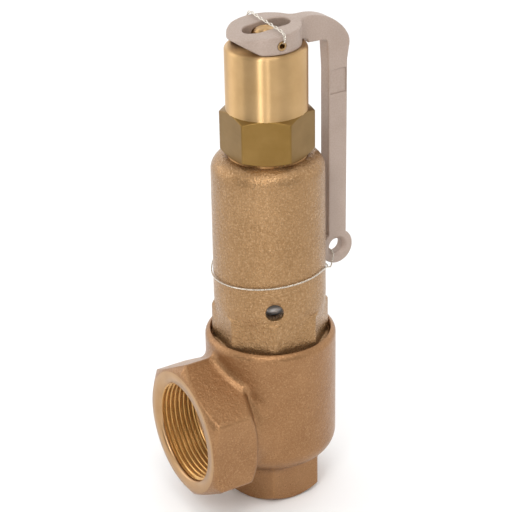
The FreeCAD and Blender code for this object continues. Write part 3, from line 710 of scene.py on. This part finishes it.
def lever_field(x, y, z):
    """The casting with its slot, pin hole and countersunk eye."""
    under, inner, outer = 218.7, ARM_X - 4.8, ARM_X + 4.8
    join = EYE_Z + math.sqrt(EYE_BOSS ** 2 - 4.8 ** 2)
    side = outline_points([
        (-10.0, under), (17.0, under), (18.3, under - 0.6), (19.0, under - 1.5),
        (19.3, under - 2.4), (inner - 2.6, under - 2.6),
        (inner - 0.8, under - 4.6, 1.9, False), (inner, under - 17), (inner, join),
        (ARM_X, EYE_Z - EYE_BOSS, EYE_BOSS, True), (outer, join, EYE_BOSS, True),
        (outer, under - 13.8),
        (outer + 0.9, under - 8.1), (outer + 0.5, under - 2.5, 8, True),
        (outer - 4.5, under + 3.7, 18, True), (18.0, under + 9.5, 24, True),
        (2.0, under + 8.5), (-9.0, under + 7.5), (-17.1, under + 5.5), (-17.1, under + 4.5)])
    head, blend = 16, 5.0
    shoulder = math.sqrt((head + blend) ** 2 - (ARM_HALF + blend) ** 2)
    touch = head / (head + blend)
    start, end = shoulder - 0.8, ARM_X + 12.2
    near, wide = shoulder * touch - 0.8, (ARM_HALF + blend) * touch
    plan = outline_points([
        (start, -ARM_HALF, blend, False), (end, -ARM_HALF), (end, ARM_HALF),
        (start, ARM_HALF), (near, wide, blend, False), (-16.8, 0, head, True),
        (near, -wide, head, True)])
    side_field = polygon_field(side, x[:, 0, :], z[:, 0, :])[:, None, :]
    plan_field = polygon_field(plan, x[:, :, 0], y[:, :, 0])[:, :, None]
    shape = soft_max(side_field, plan_field, 0.75)

    slot_back, slot_front, slot_half = -10.6, 11.3, 5.4
    along = np.clip(x, slot_back + slot_half, slot_front - slot_half)
    slot = np.maximum(np.hypot(x - along, y) - slot_half, 216.0 - z)
    pin = np.hypot(x - PIN_X, z - PIN_Z) - 2.1
    eye = np.hypot(x - ARM_X, z - EYE_Z)
    sink = (eye - EYE_RADIUS - (abs(y) - 1.8)) / math.sqrt(2)
    eye_hole = np.minimum(eye - EYE_RADIUS, sink)
    for hole, ease in ((slot, 0.7), (pin, 0.35), (eye_hole, 0.3)):
        shape = soft_max(shape, -hole, ease)
    return shape


def make_lever(looks):
    low, high, step = (-18.5, -17.0, 106.0), (43.6, 17.1, 229.6), 0.3
    piece = solid("lever_casting", *skin(lever_field, low, high, step))
    corners = list(itertools.product((30.3, 38.6), (-6.0, -3.1), (190.4, 201.6)))
    panel = solid("panel_tool", corners, [(0, 1, 3, 2), (4, 6, 7, 5), (0, 4, 5, 1),
                                          (2, 3, 7, 6), (0, 2, 6, 4), (1, 5, 7, 3)],
                  smooth=False)
    carve(piece, panel)
    stand_in(piece, "lever", "lever", "lever_cast", looks["lever_cast"])


# ------------------------------------------------------------------ spring


def make_spring(looks):
    """The spring rides on the stem."""
    piece = linked("spring_coil", frame["nodes"]["spring"].data.copy())
    stand_in(piece, "stem", "spring", "spring_steel", looks["spring_steel"])
    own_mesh(piece)


# ------------------------------------------------------------------ seal wires

STRAND_SIDES = 8


def route(points):
    """Points along one smooth spline with these control points, in millimetres."""
    data = bpy.data.curves.new("route", "CURVE")
    data.dimensions = "3D"
    data.resolution_u = 16
    line = data.splines.new("NURBS")
    line.points.add(len(points) - 1)
    for spot, point in zip(line.points, points):
        spot.co = (*point, 1)
    line.order_u = 3
    line.use_endpoint_u = True
    carrier = linked("route", data)
    graph = bpy.context.evaluated_depsgraph_get()
    graph.update()
    mesh = bpy.data.meshes.new_from_object(carrier.evaluated_get(graph), depsgraph=graph)
    found = np.array([v.co for v in mesh.vertices])
    bpy.data.objects.remove(carrier)
    bpy.data.meshes.remove(mesh)
    return found


def even(path, step):
    """The path in even steps, and each point's distance along it."""
    lengths = np.concatenate([[0], np.cumsum(np.linalg.norm(np.diff(path, axis=0), axis=1))])
    at = np.linspace(0, lengths[-1], max(2, int(lengths[-1] / step) + 1))
    return np.stack([np.interp(at, lengths, path[:, k]) for k in range(3)], axis=1), at


def twisted(path, strand, offset, lay):
    """Two strands wound round a path: their radius, their distance from it, a turn's length."""
    centre, along = even(path, min(lay / 14, 0.25))
    tangent = np.gradient(centre, axis=0)
    tangent /= np.linalg.norm(tangent, axis=1)[:, None]
    across = np.cross(tangent[0], (0.3, 0.5, 0.8))
    frames = []
    for direction in tangent:
        across = across - direction * (across @ direction)
        across /= np.linalg.norm(across)
        frames.append((across, np.cross(direction, across)))
    first, second = (np.array(v) for v in zip(*frames))
    points, faces = [], []
    for phase in (0.0, math.pi):
        turn = (2 * math.pi * along / lay + phase)[:, None]
        line = centre + offset * (np.cos(turn) * first + np.sin(turn) * second)
        heading = np.gradient(line, axis=0)
        heading /= np.linalg.norm(heading, axis=1)[:, None]
        out = first - heading * (first * heading).sum(1)[:, None]
        out /= np.linalg.norm(out, axis=1)[:, None]
        side = np.cross(heading, out)
        base = len(points)
        for index in range(len(line)):
            for k in range(STRAND_SIDES):
                a = 2 * math.pi * k / STRAND_SIDES
                points.append(line[index] + strand * (math.cos(a) * out[index]
                                                      + math.sin(a) * side[index]))
        for index in range(len(line) - 1):
            row = base + index * STRAND_SIDES
            for k in range(STRAND_SIDES):
                a, b = row + k, row + (k + 1) % STRAND_SIDES
                faces.append((a, b, b + STRAND_SIDES, a + STRAND_SIDES))
        last = base + (len(line) - 1) * STRAND_SIDES
        faces.append(tuple(base + k for k in reversed(range(STRAND_SIDES))))
        faces.append(tuple(last + k for k in range(STRAND_SIDES)))
    return points, faces


def pin_route():
    """From inside the hollow pin, over the lever's head and into the pin's other end."""
    over, side, x, z = 228.3, 17.5, PIN_X, PIN_Z
    return [(x, -3.0, z), (x, -side, z), (-1.4, -side, over - 0.2), (-0.6, -12.0, over),
            (0.0, -4.0, over + 0.1), (0.3, 4.0, over + 0.2), (1.4, 12.0, over + 0.2),
            (2.0, side - 0.4, over), (0.2, side + 0.1, z + 1.6), (x, side, z), (x, 3.0, z)]


def bonnet_route():
    """Once round the bonnet: a tilted ring that dips under the lever's eye."""
    points = []
    dip = 108.4
    reach = (SHELL + 0.65) / math.cos(math.radians(9.0))
    for step in range(20):
        azimuth = -16.0 - 18.0 * step
        away = abs((azimuth + 2.0 + 180) % 360 - 180)
        level = 114.2 + 2.4 * math.cos(math.radians(azimuth + 60))
        height = dip + (level - dip) * smooth_step(away, 12.0, 46.0)
        height += 3.6 * smooth_step(-azimuth, 205, 236) * (1 - smooth_step(-azimuth, 250, 335))
        points.append((reach * math.cos(math.radians(azimuth)),
                       reach * math.sin(math.radians(azimuth)), height))
    return points


def eye_route():
    """Through the lever's eye and round under the bonnet's wire."""
    x, z, face = ARM_X, EYE_Z, ARM_HALF + 0.95
    return [
        (x - 2.0, 0.4, z - 2.0), (x - 2.1, 1 - face, z - 2.1),
        (x - 3.4, -face - 0.2, z - 4.1), (x - 3.9, -face - 0.3, z - 6.2),
        (x - 4.4, -face - 0.5, z - 8.3), (x - 6.0, -face - 0.4, z - 8.5),
        (x - 6.4, -face - 0.1, z - 7.1), (x - 5.9, 2.4 - face, z - 7.3),
        (x - 6.4, face - 1.0, z - 7.1), (x - 4.9, face, z - 4.9),
        (x - 2.1, face - 0.6, z - 2.1), (x - 2.0, 1.4, z - 2.0)]


# Node, body, control points, a strand's radius and distance from the middle and the length of
# one turn in millimetres, and a wire's real length in metres where one is given.
WIRES = (
    ("pin_seal_wire", "lever", pin_route(), 0.27, 0.4, 9.0, 0.0732),
    ("bonnet_seal_wire", "housing", bonnet_route(), 0.19, 0.19, 1.9, 0.1588),
    ("eye_seal_wire", "lever", eye_route(), 0.2, 0.2, 2.6, None),
)


def make_wires(looks):
    for node, body, points, strand, offset, lay, length in WIRES:
        line = route(points)
        piece = solid(node + "_strands", *twisted(line, strand, offset, lay))
        stand_in(piece, body, node, "seal_wire", looks["seal_wire"])


# ------------------------------------------------------------------ assembly of the pieces


def paint_nodes(looks):
    """Gives every CAD node the look of its material slot."""
    slots = {part["node"]: part["material_slot"] for part in frame["record"]["subparts"]}
    for name, made in frame["nodes"].items():
        made.data.materials.clear()
        made.data.materials.append(looks[slots[name]])


camera()
floor()
studio()
looks = make_materials()
paint_nodes(looks)
for make in (make_body, make_bonnet, make_cap, make_lever, make_spring, make_wires):
    make(looks)
